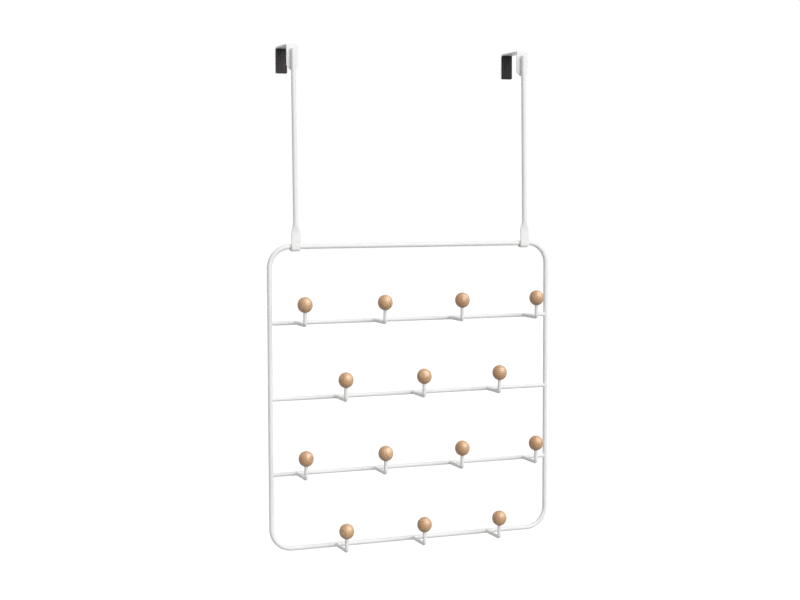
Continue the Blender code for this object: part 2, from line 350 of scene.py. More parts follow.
class Recipe:
    """The node tree of a material or world, emptied and built up node by node."""

    def __init__(self, owner):
        owner.use_nodes = True
        self.tree = owner.node_tree
        self.tree.nodes.clear()

    def node(self, kind, settings=None, sockets=None):
        """A node of a type: its settings are set first, then its sockets get a value or a link."""
        made = self.tree.nodes.new(kind)
        for name, value in (settings or {}).items():
            if name == "stops":
                ramp = made.color_ramp.elements
                while len(ramp) < len(value):
                    ramp.new(1.0)
                for stop, (place, level) in zip(ramp, value):
                    stop.position = place
                    stop.color = (level, level, level, 1.0)
            else:
                setattr(made, name, value)
        for name, value in (sockets or {}).items():
            if isinstance(value, Level):
                value = value.socket
            if isinstance(value, bpy.types.NodeSocket):
                self.tree.links.new(value, made.inputs[name])
            elif made.inputs[name].type == "RGBA":
                made.inputs[name].default_value = (*value, 1.0)
            else:
                made.inputs[name].default_value = value
        return made

    def level(self, kind, output, settings=None, sockets=None):
        """One output of a new node, as a value to reckon with."""
        return Level(self.tree, self.node(kind, settings, sockets).outputs[output])

    def stretched(self, place, scale):
        """A place in space, scaled along each axis."""
        node = self.node("ShaderNodeVectorMath", {"operation": "MULTIPLY"}, {0: place, 1: scale})
        return node.outputs["Vector"]

    def noise(self, place, scale, detail=2.0, roughness=0.5, distortion=0.0):
        """Smooth noise from 0 to 1 over a place in space."""
        sockets = {"Vector": place, "Scale": scale, "Detail": detail, "Roughness": roughness,
                   "Distortion": distortion}
        return self.level("ShaderNodeTexNoise", "Fac", {}, sockets)

    def ramp(self, value, low, high):
        """0 below one value, 1 above another, and a smooth rise between."""
        settings = {"stops": ((low, 0.0), (high, 1.0))}
        return self.level("ShaderNodeValToRGB", "Color", settings, {"Fac": value})

    def blend(self, share_of_second, first, second):
        """A mix of two colours."""
        settings = {"data_type": "RGBA", "blend_type": "MIX"}
        return self.node("ShaderNodeMix", settings, {0: share_of_second, 6: first, 7: second}).outputs[2]

    def bump(self, height, distance, under=None):
        """A surface normal from a height field, over another normal if one is given."""
        sockets = {"Height": height, "Distance": distance, "Strength": 1.0}
        if under is not None:
            sockets["Normal"] = under
        return self.node("ShaderNodeBump", {}, sockets).outputs["Normal"]

    def surface(self, sockets):
        """The material's shader, put on its surface."""
        shader = self.node("ShaderNodeBsdfPrincipled", {}, sockets)
        self.node("ShaderNodeOutputMaterial", {}, {"Surface": shader.outputs["BSDF"]})


def stray(draw, most):
    """A chance number, at most so far from 0 on either side."""
    return draw.uniform(-most, most)


def powder_coat(finish):
    """White powder coat on steel: faint clouds, an orange-peel skin and slightly uneven gloss."""
    known = bpy.data.materials.get("white_powder_coat")
    if known is not None:
        return known
    material = bpy.data.materials.new("white_powder_coat")
    recipe = Recipe(material)
    place = recipe.node("ShaderNodeTexCoord").outputs["Object"]
    cloud = recipe.noise(place, scale=45.0, detail=3.0, roughness=0.55)
    peel = recipe.noise(place, scale=750.0, detail=1.5, roughness=0.45)
    grit = recipe.noise(place, scale=3400.0, detail=2.0, roughness=0.6)
    shade = 0.955
    shaded = tuple(part * shade for part in finish.coat)
    cloud_tone, peel_tone = 0.45, 0.25
    tone = recipe.ramp(cloud, low=0.3, high=0.72) * cloud_tone + peel * peel_tone
    normal = recipe.bump(grit, distance=0.000006)
    normal = recipe.bump(peel, distance=0.00006, under=normal)
    peel_dulls, cloud_dulls = 0.06, 0.04
    glossiest = finish.coat_roughness - (peel_dulls + cloud_dulls) / 2
    recipe.surface({
        "Base Color": recipe.blend(tone, finish.coat, shaded),
        "Roughness": glossiest + peel * peel_dulls + cloud * cloud_dulls,
        "Normal": normal,
        "IOR": 1.46,
    })
    material.diffuse_color = (*finish.coat, 1.0)
    return material


def beech(finish, number, draw, tint):
    """Varnished beech of one ball: growth rings, fibres and ray flecks, each ball cut its own way.

    The grain runs upright, or in every few balls from front to back, so that its end shows.
    """
    material = bpy.data.materials.new("beech_%02d" % number)
    recipe = Recipe(material)
    place = recipe.node("ShaderNodeTexCoord").outputs["Object"]
    lean = (stray(draw, CUT_LEAN), stray(draw, CUT_LEAN), draw.uniform(0.0, math.tau))
    if number % THROUGH_CUT_EVERY == 1:
        leans, turns = THROUGH_CUT_LEAN
        lean = (math.pi / 2 + stray(draw, leans), stray(draw, turns), lean[2])
    aside, along = PITH_STRAY
    pith = (draw.uniform(*PITH_AWAY), stray(draw, aside), stray(draw, along))
    sockets = {"Vector": place, "Location": pith, "Rotation": lean}
    stock = recipe.node("ShaderNodeMapping", {"vector_type": "POINT"}, sockets).outputs["Vector"]
    sockets = {"Vector": stock, "Scale": draw.uniform(*RING_SCALES), "Distortion": 2.2, "Detail": 2.0,
               "Detail Scale": 0.6, "Detail Roughness": 0.5, "Phase Offset": draw.uniform(0.0, 6.0)}
    settings = {"wave_type": "RINGS", "rings_direction": "Z", "wave_profile": "SIN"}
    rings = recipe.level("ShaderNodeTexWave", "Fac", settings, sockets)
    fibres_a_metre, rays_a_metre = (900.0, 900.0, 55.0), (2300.0, 1500.0, 330.0)
    fibre = recipe.noise(recipe.stretched(stock, fibres_a_metre), scale=1.0, detail=3.0, roughness=0.6)
    cloud = recipe.noise(stock, scale=110.0, detail=2.0, roughness=0.5)
    rays = recipe.noise(recipe.stretched(stock, rays_a_metre), scale=1.0, detail=1.0, roughness=0.4)
    fleck = recipe.ramp(rays, low=0.62, high=0.70)
    pale, deep = (
        tuple(part * tint ** power for part, power in zip(stain, TINT_POWERS))
        for stain in (finish.beech_pale, finish.beech_deep))
    sharpness, ring_tone, fibre_tone, cloud_tone, fleck_tone = 2.2, 0.42, 0.34, 0.2, 0.5
    grain = (rings ** sharpness * ring_tone + recipe.ramp(fibre, low=0.35, high=0.7) * fibre_tone
             + cloud * cloud_tone)
    wood = recipe.blend(grain, pale, deep)
    wood = recipe.blend(fleck * fleck_tone, wood, finish.beech_fleck)
    fleck_height, fibre_dulls = -0.6, 0.1
    recipe.surface({
        "Base Color": wood,
        "Roughness": finish.beech_roughness + fibre * fibre_dulls,
        "Normal": recipe.bump(fibre + fleck * fleck_height, distance=0.0000025),
        "Specular IOR Level": 0.7,
        "IOR": 1.5,
    })
    material.diffuse_color = (*finish.beech_pale, 1.0)
    return material


def foam(finish):
    """Black closed-cell foam with fine pores, dusty grey on the crests of its ribs, darker with painted
    shade in its grooves, up under the strap's bend and on the right pad.
    """
    known = bpy.data.materials.get("black_foam")
    if known is not None:
        return known
    material = bpy.data.materials.new("black_foam")
    recipe = Recipe(material)
    place = recipe.node("ShaderNodeTexCoord").outputs["Object"]
    sockets = {"Vector": place, "Scale": 2100.0}
    cells = recipe.level("ShaderNodeTexVoronoi", "Distance", {"feature": "F1"}, sockets)
    along_ribs = (1.0, 1.0, 0.35)
    dust = recipe.noise(recipe.stretched(place, along_ribs), scale=420.0, detail=3.0, roughness=0.6)
    pore = recipe.ramp(cells, low=0.05, high=0.45)
    # The pads' layer of dust and painted shade: low where shade is painted, in the grooves, at the top and
    # on the right pad
    dust_and_shade_laid = recipe.level("ShaderNodeAttribute", "Fac", {"attribute_name": DUST_AND_SHADE})
    on_walls, in_streaks, all_over = 0.35, 0.25, 0.4
    dust_and_shade_tone = (pore * on_walls + recipe.ramp(dust, low=0.3, high=0.7) * in_streaks + all_over) * dust_and_shade_laid
    glossiest, dust_dulls, dust_height = 0.82, 0.12, 0.8
    recipe.surface({
        "Base Color": recipe.blend(dust_and_shade_tone, finish.foam_pore, finish.foam),
        "Roughness": glossiest + dust * dust_dulls,
        "Normal": recipe.bump(pore + dust * dust_height, distance=0.00018),
        "Specular IOR Level": 0.15,
        "IOR": 1.4,
    })
    material.diffuse_color = (*finish.foam, 1.0)
    return material


# Shapes


def arc(centre, radius, start, end, steps):
    """Points in a plane along an arc, in degrees from the plane's first axis."""
    points = []
    for step in range(steps + 1):
        turn = math.radians(start + (end - start) * step / steps)
        points.append((centre[0] + radius * math.cos(turn), centre[1] + radius * math.sin(turn)))
    return points


def round_section(radius, sides):
    """Points round a circle, as pairs along a wire's two cross directions."""
    return arc((0.0, 0.0), radius, 0, 360 - 360 / sides, sides - 1)


def ring_of(shape, centre, across, out, outline):
    """A ring of vertices: an outline laid along two directions at a place."""
    return [shape.verts.new(centre + across * aside + out * away) for aside, away in outline]


def bands(shape, rings, following):
    """Faces between each ring and the one that follows it."""
    for ring, after in zip(rings, following):
        for side, corner in enumerate(ring):
            beside = (side + 1) % len(ring)
            shape.faces.new((corner, ring[beside], after[beside], after[side]))


def skin(shape, rings, closed=False):
    """Faces between neighbouring rings, and over the two ends unless the last ring meets the first."""
    bands(shape, rings, rings[1:] + rings[:1] if closed else rings[1:])
    if not closed:
        shape.faces.new(rings[0])
        shape.faces.new(rings[-1])
    bmesh.ops.recalc_face_normals(shape, faces=shape.faces)


def squarer(part, power):
    """A sine or cosine as a squarer round section has it. With a power of 2 it stays as it is."""
    return math.copysign(abs(part) ** (2 / power), part)


def crest(ribs_along):
    """How high a ribbed surface stands, from 0 in its grooves to 1 on its crests."""
    return 0.5 - 0.5 * math.cos(math.tau * ribs_along)


def foot(shape, base, along, out, across, base_radius, radius, wire):
    """Rings of a weld that swells from a round wire's side up to the wire that stands on it.

    The base wire runs along one direction through a place on its centreline, and the other wire
    leaves it outwards. The first ring is sunk a little into the base.
    """
    rings = []
    sides = round_section(1.0, WIRE_SIDES)
    for step in range(FOOT_STEPS + 1):
        turn = math.pi / 2 * (1 - step / FOOT_STEPS)
        spread = wire.weld_spread * (1 - math.cos(turn))
        rise = wire.weld_rise * (1 - math.sin(turn)) - (WELD_SINK if step == 0 else 0.0)
        settled = turn / (math.pi / 2)
        ring = []
        for cosine, sine in sides:
            free = math.asin(radius * sine / (base_radius + wire.weld_rise))
            lying = (radius + wire.weld_spread) * sine / base_radius
            bearing = free + (lying - free) * settled
            away = base_radius + rise
            place = base + along * (radius + spread) * cosine
            place = place + (out * math.cos(bearing) + across * math.sin(bearing)) * away
            ring.append(shape.verts.new(place))
        rings.append(ring)
    return rings


def finished(name, shape, material, smooth_below=35.0):
    """An object from a bmesh, shaded smooth where its faces meet under an angle in degrees."""
    mesh = bpy.data.meshes.new(name)
    shape.to_mesh(mesh)
    shape.free()
    mesh.shade_smooth()
    mesh.set_sharp_from_angle(angle=math.radians(smooth_below))
    mesh.materials.append(material)
    item = bpy.data.objects.new(name, mesh)
    bpy.context.scene.collection.objects.link(item)
    return item


def centre_and_size(node):
    """The middle of a CAD node's box and the lengths of its sides."""
    low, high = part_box(node)
    return (low + high) / 2, high - low


def middle_and_half(low, high):
    """The number halfway between two others, and half the distance between them."""
    return (low + high) / 2, (high - low) / 2


def ring_wire(rack):
    """The frame's outer wire, bent to a rounded rectangle."""
    low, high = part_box("frame_ring")
    plane, radius = middle_and_half(low.y, high.y)
    bend = rack.wire.corner_radius
    left, right = low.x + radius + bend, high.x - radius - bend
    bottom, top = low.z + radius + bend, high.z - radius - bend
    shape = bmesh.new()
    rings = []
    corners = ((right, top, 90), (right, bottom, 0), (left, bottom, -90), (left, top, -180))
    for x, z, start in corners:
        for step in range(CORNER_STEPS + 1):
            turn = math.radians(start - 90 * step / CORNER_STEPS)
            outward = Vector((math.cos(turn), 0.0, math.sin(turn)))
            centre = Vector((x, plane, z)) + outward * bend
            rings.append(ring_of(shape, centre, outward, Y_AXIS, round_section(radius, WIRE_SIDES)))
    skin(shape, rings, closed=True)
    return finished("ring_wire", shape, powder_coat(rack.finish))


def bar_wire(rack, node):
    """A crossbar, welded between the side rails."""
    ring_low, ring_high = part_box("frame_ring")
    _, rail = middle_and_half(ring_low.y, ring_high.y)
    middle, size = centre_and_size(node)
    radius = size.y / 2
    shape = bmesh.new()
    left = Vector((ring_low.x + rail, middle.y, middle.z))
    right = Vector((ring_high.x - rail, middle.y, middle.z))
    rings = foot(shape, left, Z_AXIS, X_AXIS, Y_AXIS, rail, radius, rack.wire)
    for place in (left + X_AXIS * BAR_WELD_ROOM, Vector(middle), right - X_AXIS * BAR_WELD_ROOM):
        rings.append(ring_of(shape, place, Z_AXIS, Y_AXIS, round_section(radius, WIRE_SIDES)))
    rings += reversed(foot(shape, right, Z_AXIS, -X_AXIS, Y_AXIS, rail, radius, rack.wire))
    skin(shape, rings)
    return finished(node.replace("crossbar", "bar"), shape, powder_coat(rack.finish))


def hook_wire(rack, node):
    """A hook: its arm stands on a weld on its bar or rail, turns up in one bend and ends in its ball."""
    low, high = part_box(node)
    middle, radius = middle_and_half(low.x, high.x)
    crossbar = "crossbar_" + node[len("hook_row")]
    carrier = crossbar if crossbar in frame["nodes"] else "frame_ring"
    carrier_low, carrier_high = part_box(carrier)
    base_y, base_radius = middle_and_half(carrier_low.y, carrier_high.y)
    bend = rack.wire.hook_bend
    arm_z = low.z + radius
    stem_y = low.y + radius
    base = Vector((middle, base_y, arm_z))
    shape = bmesh.new()
    rings = foot(shape, base, X_AXIS, -Y_AXIS, -Z_AXIS, base_radius, radius, rack.wire)
    outline = round_section(radius, WIRE_SIDES)
    start = base - Y_AXIS * (base_radius + rack.wire.weld_rise + HOOK_WELD_ROOM)
    rings.append(ring_of(shape, start, X_AXIS, -Z_AXIS, outline))
    for step in range(HOOK_BEND_STEPS + 1):
        turn = math.pi / 2 * step / HOOK_BEND_STEPS
        below = Vector((0.0, -math.sin(turn), -math.cos(turn)))
        centre = Vector((base.x, stem_y + bend, arm_z + bend)) + below * bend
        rings.append(ring_of(shape, centre, X_AXIS, below, outline))
    rings.append(ring_of(shape, Vector((base.x, stem_y, high.z)), X_AXIS, -Y_AXIS, outline))
    skin(shape, rings)
    return finished(node.replace("hook_", "peg_"), shape, powder_coat(rack.finish))


def ball_mesh(rack, diameter, height, bore_radius):
    """A turned ball with a blind bore from below, its own centre at the origin."""
    power = rack.ball.squareness
    chamfer = rack.ball.bore_chamfer
    mouth = bore_radius + chamfer
    rim = -math.acos((mouth * 2 / diameter) ** (power / 2))
    profile = []
    for ring in range(1, BALL_RINGS + 1):
        turn = math.pi / 2 + (rim - math.pi / 2) * ring / BALL_RINGS
        across = diameter / 2 * squarer(math.cos(turn), power)
        profile.append((across, height / 2 * squarer(math.sin(turn), power)))
    lip = profile[-1][1]
    wider, higher = CHAMFER_MIDDLE
    profile.append((bore_radius + chamfer * wider, lip + chamfer * higher))
    profile.append((bore_radius, lip + chamfer))
    profile.append((bore_radius, rack.ball.bore_depth - height / 2))
    shape = bmesh.new()
    rings = [ring_of(shape, Z_AXIS * up, X_AXIS, Y_AXIS, round_section(across, BALL_SIDES))
             for across, up in profile]
    bands(shape, rings, rings[1:])
    for ring, peak in ((rings[0], height / 2), (rings[-1], profile[-1][1])):
        pole = shape.verts.new((0.0, 0.0, peak))
        for side, corner in enumerate(ring):
            shape.faces.new((corner, ring[(side + 1) % BALL_SIDES], pole))
    bmesh.ops.recalc_face_normals(shape, faces=shape.faces)
    return shape


def strap_bar(rack, side):
    """A flat bar bent over the door, with chamfered front tip and softened edges."""
    sizes = rack.hanger
    low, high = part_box(side + "_strap")
    middle, half = middle_and_half(low.x, high.x)
    thick = sizes.strap_thickness
    tip = sizes.tip_width / 2
    under = high.z - thick
    rear = high.y - thick
    front = low.y + thick
    front_bottom = under - sizes.front_leg
    small, wide = sizes.front_bend, sizes.rear_bend
    side_view = [(front, front_bottom + half - tip)]
    side_view += arc((front + small, under - small), small, 180, 90, BEND_STEPS)
    side_view += arc((rear - wide, under - wide), wide, 90, 0, BEND_STEPS)
    side_view.append((rear, low.z))
    shape = bmesh.new()
    pairs = [(shape.verts.new((middle - half, y, z)), shape.verts.new((middle + half, y, z)))
             for y, z in side_view]
    for (left, right), (next_left, next_right) in zip(pairs, pairs[1:]):
        shape.faces.new((left, right, next_right, next_left))
    tips = [shape.verts.new((middle + x, front, front_bottom)) for x in (-tip, tip)]
    shape.faces.new((tips[0], tips[1], pairs[0][1], pairs[0][0]))
    item = finished(side + "_strap_bar", shape, powder_coat(rack.finish), smooth_below=30.0)
    bar = item.modifiers.new("bar_thickness", "SOLIDIFY")
    bar.thickness = thick
    bar.offset = 1.0
    bar.use_even_offset = True
    edge = item.modifiers.new("coated_edge", "BEVEL")
    edge.width = sizes.strap_edge
    edge.segments = STRAP_EDGE_SEGMENTS
    edge.limit_method = "ANGLE"
    edge.angle_limit = STRAP_SHARP_FROM
    edge.harden_normals = True
    return item


def foam_heights(sizes, bottom, bend_centre, thick):
    """Heights at which a pad's outline is drawn, closer together where its foot and its top are round."""
    heights = [bottom + sizes.corner * (1 - math.cos(math.pi / 2 * step / PAD_FOOT_STEPS))
               for step in range(PAD_FOOT_STEPS + 1)]
    run = bend_centre - heights[-1]
    heights += [heights[-1] + run * step / PAD_STEPS for step in range(1, PAD_STEPS + 1)]
    turns = [PAD_TOP_TURN * step / PAD_TOP_STEPS for step in range(1, PAD_TOP_STEPS + 1)]
    return heights + [bend_centre + thick * math.sin(turn) for turn in turns]


def foam_outline(sizes, width, front, rear):
    """A pad's outline seen from above: ribs along the front, rounded edges and a flat back."""
    edge = min(sizes.edge, (rear - front) / 2)
    flat = width - edge
    depth = sizes.rib_depth * edge / sizes.edge
    points = []
    steps = sizes.ribs * RIB_STEPS
    for step in range(steps + 1):
        across = -1 + 2 * step / steps
        groove = depth * (1 - crest(sizes.ribs * step / steps))
        points.append((across * flat, front + sizes.crown * across * across + groove))
    round_edge = [(flat + edge * math.sin(turn), front + edge * (1 - math.cos(turn)) + depth)
                  for turn in PAD_EDGE_TURNS]
    points += round_edge + [(width, rear), (-width, rear)]
    return points + [(-x, y) for x, y in reversed(round_edge)]


def foam_pad(rack, side):
    """A foam strip on the rear leg: ribbed in front, its top nested in the bend, its foot rounded.

    Dust and painted shade lie on it: lighter on the crests of its ribs and towards its foot, with painted
    shade in the grooves between ribs, up under the strap's bend and over the whole right pad.
    """
    sizes = rack.pad
    low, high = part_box(side + "_pad")
    strap_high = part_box(side + "_strap")[1]
    middle, half = middle_and_half(low.x, high.x)
    thick = high.y - low.y
    bend_centre = strap_high.z - rack.hanger.strap_thickness - rack.hanger.rear_bend
    back = high.y + sizes.adhesive
    # How much dust and light each pad gets: the right pad's lower value paints it darker, as if in shade
    pad_dust_and_shade = rack.finish.left_dust_and_shade if side == "left" else rack.finish.right_dust_and_shade
    groove_share_with_shade, top_share_with_shade = rack.finish.groove_dust_and_shade, rack.finish.top_dust_and_shade
    shape = bmesh.new()
    dust = shape.verts.layers.float.new(DUST_AND_SHADE)
    rings = []
    for height in foam_heights(sizes, low.z, bend_centre, thick):
        above_foot = min(height - low.z, sizes.corner)
        cut = sizes.corner - math.sqrt(max(sizes.corner ** 2 - (sizes.corner - above_foot) ** 2, 0.0))
        front, rear = low.y, back
        if above_foot < sizes.edge:
            front += sizes.edge * (1 - above_foot / sizes.edge) ** 2 / 2
        if height > bend_centre:
            rear = low.y + (back - low.y) * math.sqrt(1 - ((height - bend_centre) / thick) ** 2)
        front = min(front, rear - sizes.thinnest)
        outline = foam_outline(sizes, half - cut, front, rear)
        ring = [shape.verts.new((middle + x, y, height)) for x, y in outline]
        # Painted shade: darker towards the pad's top, as under the strap's bend; the rest of the value is
        # dust
        dust_and_shade_laid = pad_dust_and_shade * (top_share_with_shade + (1 - top_share_with_shade) * math.sqrt(max(high.z - height, 0.0) / (high.z - low.z)))
        for vert in ring:
            # Painted shade in the grooves between ribs: the layer is lower there than on the crests
            rib = crest(sizes.ribs * (vert.co.x - low.x) / (2 * half))
            vert[dust] = dust_and_shade_laid * (groove_share_with_shade + (1 - groove_share_with_shade) * rib)
        rings.append(ring)
    skin(shape, rings)
    item = finished(side + "_foam", shape, foam(rack.finish), smooth_below=50.0)
    return item


Station = namedtuple("Station", "place direction above_foot from_end extra")


def rod_line(rack, side):
    """Stations down a rod's centreline, each with its direction, its height above the foot of the blade,
    its distance from the nearer end, and what the bend adds to the blade's outer face.

    The rod stands on the front leg, leans out to pass in front of the top rail, and hooks under the rail.
    """
    sizes = rack.hanger
    ring_low, ring_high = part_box("frame_ring")
    rail_y, rail_radius = middle_and_half(ring_low.y, ring_high.y)
    rail = Vector((0.0, rail_y, ring_high.z - rail_radius))
    strap_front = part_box(side + "_strap")[0].y
    top = Vector((0.0, strap_front - sizes.rod_clearance - sizes.rod_diameter / 2, -sizes.rod_top))
    cradle = rail_radius + sizes.rod_clearance + sizes.blade_thickness / 2
    drop = rail - top
    distance = drop.length
    lean = math.atan2(-drop.y, -drop.z) + math.asin(cradle / distance)
    run = math.sqrt(distance ** 2 - cradle ** 2)
    down = Vector((0.0, -math.sin(lean), -math.cos(lean)))
    taper_top = run - sizes.blade_length - sizes.taper_length
    stations = [sizes.end_round * part for part in END_STATIONS]
    stations += [taper_top * step / ROD_STEPS for step in range(1, ROD_STEPS)]
    stations += [taper_top + sizes.taper_length * step / TAPER_STEPS for step in range(TAPER_STEPS + 1)]
    stations += [run - sizes.blade_length * (1 - step / BLADE_STEPS) for step in range(1, BLADE_STEPS)]
    line = [Station(top + down * along, down, run - along, along, 0.0) for along in stations]
    outer = cradle + sizes.blade_thickness / 2
    power = sizes.hook_squareness
    for y, z in arc((rail.y, rail.z), cradle, 180 - math.degrees(lean), 360, CRADLE_STEPS):
        outward = Vector((0.0, y - rail.y, z - rail.z)).normalized()
        reach = (abs(outward.y) ** power + abs(outward.z) ** power) ** (-1 / power)
        extra = outer * (reach - 1) if outward.y < 0 else 0.0
        line.append(Station(Vector((0.0, y, z)), Vector((0.0, -outward.z, outward.y)), 0.0, cradle, extra))
    for step in range(1, TIP_STEPS + 1):
        rise = sizes.tip_rise * step / TIP_STEPS
        place = Vector((0.0, rail.y + cradle, rail.z + rise))
        line.append(Station(place, Z_AXIS, 0.0, sizes.tip_rise - rise, 0.0))
    return line


def hanger_rod(rack, side):
    """One wire from strap to rail: a round rod whose lower end is hammered flat and hooked."""
    sizes = rack.hanger
    low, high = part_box(side + "_rod")
    middle, _ = middle_and_half(low.x, high.x)
    draw = random.Random(WAVE_SEEDS[side])
    waves = [(draw.uniform(*WAVE_RATES), draw.uniform(0, math.tau)) for _ in range(WAVE_COUNT)]
    shape = bmesh.new()
    rings = []
    for station in rod_line(rack, side):
        share_round = min(max((station.above_foot - sizes.blade_length) / sizes.taper_length, 0.0), 1.0)
        rounding = share_round * share_round * (3 - 2 * share_round)
        wander = sum(math.sin(station.above_foot * rate + phase) for rate, phase in waves) / len(waves)
        flat_width = sizes.blade_width + sizes.hammering * wander
        width = flat_width + (sizes.rod_diameter - flat_width) * rounding
        thick = sizes.blade_thickness + (sizes.rod_diameter - sizes.blade_thickness) * rounding
        power = sizes.blade_squareness + (ROUND_POWER - sizes.blade_squareness) * rounding
        near_end = max(1 - station.from_end / sizes.end_round, 0.0)
        eased = 1 - ROD_END_EASE * near_end ** 2
        inward = Vector((0.0, -station.direction.z, station.direction.y))
        outline = []
        for step in range(ROD_SIDES):
            turn = math.tau * (step + 0.5) / ROD_SIDES
            depth = thick / 2 if math.sin(turn) > 0 else thick / 2 + station.extra
            aside = squarer(math.cos(turn), power) * width / 2
            away = squarer(math.sin(turn), power) * depth
            outline.append((aside * eased, away * eased))
        rings.append(ring_of(shape, station.place + X_AXIS * middle, X_AXIS, inward, outline))
    skin(shape, rings)
    return finished(side + "_hanger_rod", shape, powder_coat(rack.finish), smooth_below=45.0)


def rod_weld(rack, side):
    """The weld that holds a rod on its front leg: one rippled bead deep in the groove between them."""
    sizes = rack.hanger
    strap_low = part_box(side + "_strap")[0]
    low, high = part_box(side + "_rod")
    middle, _ = middle_and_half(low.x, high.x)
    first = rod_line(rack, side)[0]
    top, down = first.place, first.direction
    radius = sizes.rod_diameter / 2
    face, lap = strap_low.y, sizes.weld_lap
    start, end = top.z - sizes.weld_from, strap_low.z + sizes.weld_to
    draw = random.Random(RIPPLE_SEEDS[side])
    shape = bmesh.new()
    rings = []
    for step in range(WELD_STEPS + 1):
        height = start + (end - start) * step / WELD_STEPS
        rod_y = top.y + down.y / down.z * (height - top.z)
        full = min(1.0, step / WELD_END_STEPS, (WELD_STEPS - step) / WELD_END_STEPS)
        ripple = 0.5 + 0.5 * math.sin(step * RIPPLE_TURN + stray(draw, RIPPLE_STRAY))
        reach = sizes.weld_reach * (WELD_END_SHARE + (1 - WELD_END_SHARE) * full)
        reach += sizes.weld_ripple * full * ripple
        on_rod = rod_y + math.sqrt(radius ** 2 - reach ** 2)
        right_side = [(reach, on_rod - lap), (reach * WELD_HOLLOW, (on_rod + face) / 2),
                      (reach + lap, face), (reach + lap, face + lap)]
        outline = [(-x, y) for x, y in reversed(right_side)] + right_side
        rings.append([shape.verts.new((middle + x, y, height)) for x, y in outline])
    skin(shape, rings)
    return finished(side + "_rod_weld", shape, powder_coat(rack.finish), smooth_below=60.0)


# Operators


def numbered(prefix):
    """CAD nodes whose name starts with a word, in order."""
    return sorted(name for name in frame["nodes"] if name.startswith(prefix))


class HOOKRACK_OT_ring(bpy.types.Operator):
    """Bend the frame's outer wire"""

    bl_idname = "hook_rack.ring"
    bl_label = "Outer wire"

    def execute(self, context):
        item = ring_wire(context.scene.hook_rack)
        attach(item, "frame")
        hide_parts("frame_ring")
        return {"FINISHED"}


class HOOKRACK_OT_bars(bpy.types.Operator):
    """Weld the crossbars into the outer wire"""

    bl_idname = "hook_rack.bars"
    bl_label = "Crossbars"

    def execute(self, context):
        for node in numbered("crossbar_"):
            item = bar_wire(context.scene.hook_rack, node)
            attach(item, "frame")
            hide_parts(node)
        return {"FINISHED"}


class HOOKRACK_OT_hooks(bpy.types.Operator):
    """Stand the hook wires on the crossbars and the bottom rail"""

    bl_idname = "hook_rack.hooks"
    bl_label = "Hook wires"

    def execute(self, context):
        for node in numbered("hook_"):
            item = hook_wire(context.scene.hook_rack, node)
            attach(item, "frame")
            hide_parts(node)
        return {"FINISHED"}


class HOOKRACK_OT_balls(bpy.types.Operator):
    """Turn the wooden balls and push them on their stems"""

    bl_idname = "hook_rack.balls"
    bl_label = "Wooden balls"

    def execute(self, context):
        rack = context.scene.hook_rack
        cuts = random.Random(CUT_SEED)
        shades = random.Random(TINT_SEED)
        least, first, second = TINTS
        for number, node in enumerate(numbered("ball_"), 1):
            middle, size = centre_and_size(node)
            hook_low, hook_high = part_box(node.replace("ball_", "hook_"))
            _, stem = middle_and_half(hook_low.x, hook_high.x)
            bore = stem + rack.ball.bore_clearance
            shape = ball_mesh(rack, max(size.x, size.y), rack.ball.height, bore)
            tint = least + first * shades.random() + second * (1 - shades.random())
            wood = beech(rack.finish, number, cuts, tint)
            item = finished(node.replace("ball_", "wood_"), shape, wood, smooth_below=40.0)
            item.location = (middle.x, middle.y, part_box(node)[1].z - rack.ball.height / 2)
            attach(item, "frame")
            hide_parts(node)
        return {"FINISHED"}


class HOOKRACK_OT_straps(bpy.types.Operator):
    """Bend the two door straps"""

    bl_idname = "hook_rack.straps"
    bl_label = "Door straps"

    def execute(self, context):
        for side in SIDES:
            item = strap_bar(context.scene.hook_rack, side)
            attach(item, side + "_hanger")
            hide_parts(side + "_strap")
        return {"FINISHED"}


class HOOKRACK_OT_pads(bpy.types.Operator):
    """Stick the ribbed foam pads on the rear legs"""

    bl_idname = "hook_rack.pads"
    bl_label = "Foam pads"

    def execute(self, context):
        for side in SIDES:
            item = foam_pad(context.scene.hook_rack, side)
            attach(item, side + "_hanger")
            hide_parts(side + "_pad")
        return {"FINISHED"}


class HOOKRACK_OT_rods(bpy.types.Operator):
    """Forge the hanger rods and weld them on the front legs"""

    bl_idname = "hook_rack.rods"
    bl_label = "Hanger rods"

    def execute(self, context):
        rack = context.scene.hook_rack
        for side in SIDES:
            item = hanger_rod(rack, side)
            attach(item, side + "_hanger")
            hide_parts(side + "_rod")
            bead = rod_weld(rack, side)
            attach(bead, side + "_hanger")
        return {"FINISHED"}


class HOOKRACK_OT_stage(bpy.types.Operator):
    """Lay the pale floor and set the studio light and the camera"""

    bl_idname = "hook_rack.stage"
    bl_label = "Studio"

    def execute(self, context):
        scene = context.scene
        studio = scene.hook_rack.studio
        lay_floor(studio)
        light_room(scene, studio)
        place_camera(scene, studio)
        scene.view_settings.view_transform = "Standard"
        return {"FINISHED"}


class HOOKRACK_PT_panel(bpy.types.Panel):
    """The rack's sizes and finishes, and a button for each of its pieces"""

    bl_idname = "HOOKRACK_PT_panel"
    bl_label = "Hook rack"
    bl_space_type = "VIEW_3D"
    bl_region_type = "UI"
    bl_category = "Hook rack"

    def draw(self, context):
        rack = context.scene.hook_rack
        for operator in OPERATORS:
            self.layout.operator(operator.bl_idname)
        for group in (rack.wire, rack.ball, rack.hanger, rack.pad, rack.finish, rack.studio):
            box = self.layout.box()
            for name in group.__annotations__:
                box.prop(group, name)


# Studio


def seen_rays(recipe):
    """1 for rays that show the background: from the camera, mirrored, or through glass."""
    path = recipe.node("ShaderNodeLightPath")
    camera, glossy, through = (Level(recipe.tree, path.outputs[name]) for name in
                               ("Is Camera Ray", "Is Glossy Ray", "Is Transmission Ray"))
    return camera.most(glossy).most(through)


